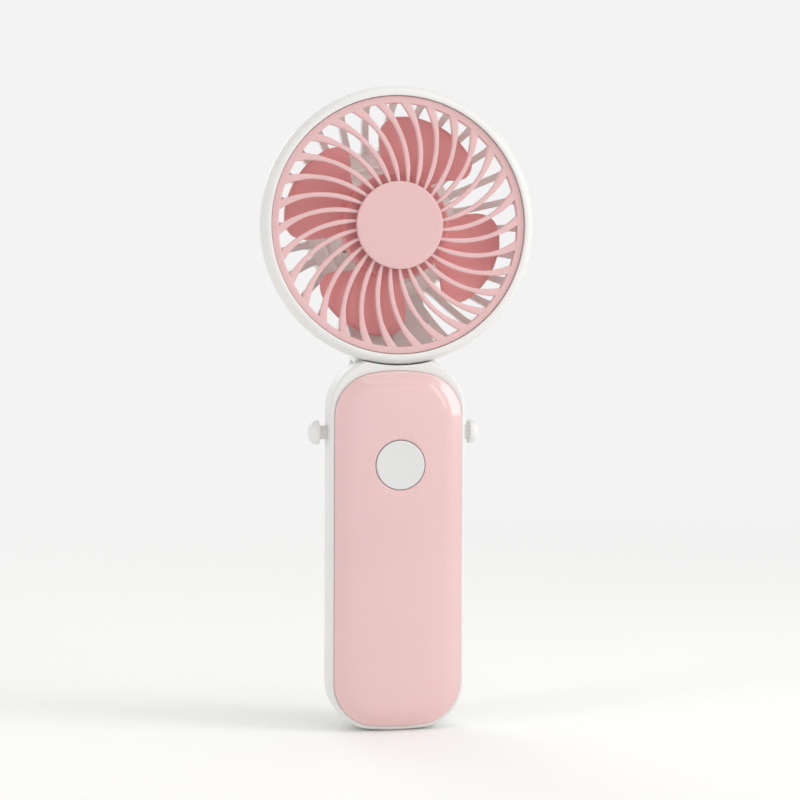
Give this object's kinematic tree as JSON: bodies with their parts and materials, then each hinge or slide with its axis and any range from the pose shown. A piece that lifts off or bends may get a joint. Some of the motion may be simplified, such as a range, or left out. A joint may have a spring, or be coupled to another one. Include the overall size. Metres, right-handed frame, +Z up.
{
  "type": "handheld electric fan",
  "caption": "Handheld electric fan: round caged head with a swirl grille that tilts back on a flat rechargeable handle with a push button.",
  "frame": {"origin": "on the flat foot of the handle, in the plane of the handle's greatest width", "axes": "+X to the right seen from the front, +Y to the back, +Z up along the handle to the head"},
  "size_m": [0.09, 0.0392, 0.21],
  "materials": {
    "white_plastic": "satin moulded white plastic",
    "pink_gloss": "glossy pastel pink plastic",
    "pink_grille": "satin pastel pink plastic",
    "pink_impeller": "satin deeper pink plastic",
    "button_white": "satin off-white plastic",
    "black_plastic": "matte black moulding",
    "steel": "zinc plated",
    "nickel": "nickel plated sheet",
    "cell_wrap": "shrink sleeve",
    "wire": "wire insulation",
    "wire_white": "wire insulation",
    "board": "solder mask",
    "clear_plastic": "clear light pipe",
    "brass": "sintered",
    "magnet": "ferrite"
  },
  "bodies": {
    "handle": {"rear_shell": "white_plastic", "front_cover": "pink_gloss", "tact_switch": "black_plastic", "lanyard_peg_left": "white_plastic", "lanyard_peg_right": "white_plastic", "hinge_pin": "steel", "hinge_washers": "steel", "battery_cell": "cell_wrap", "battery_tabs": "nickel", "battery_leads": "wire", "circuit_board": "board", "board_components": "black_plastic", "board_screws": "steel", "charging_socket": "nickel", "light_pipe": "clear_plastic", "shell_screws": "steel", "board_leads": "wire"},
    "head": {"rear_cage": "white_plastic", "front_bezel": "white_plastic", "front_grille": "pink_grille", "grille_cap": "pink_grille", "motor_can": "nickel", "motor_end_cap": "black_plastic", "motor_bushings": "brass", "motor_magnets": "magnet", "motor_cover": "white_plastic", "cover_screws": "steel", "motor_leads": "wire_white"},
    "rotor": {"impeller": "pink_impeller", "motor_shaft": "steel", "motor_rotor": "steel"},
    "button": {"power_button": "button_white", "switch_plunger": "black_plastic"}
  },
  "joints": [
    {"name": "head_tilt", "type": "hinge", "parent": "handle", "child": "head", "pos_m": [0, 0.0075, 0.1165], "axis": [-1, 0, 0], "range_deg": [0, 90]},
    {"name": "impeller_spin", "type": "hinge", "parent": "head", "child": "rotor", "pos_m": [0, 0, 0.165], "axis": [0, -1, 0], "continuous": true},
    {"name": "button_press", "type": "slide", "parent": "handle", "child": "button", "axis": [0, 1, 0], "range_m": [0, 0.0006], "stiffness_N_per_m": 600, "springref_m": -0.001}
  ]
}
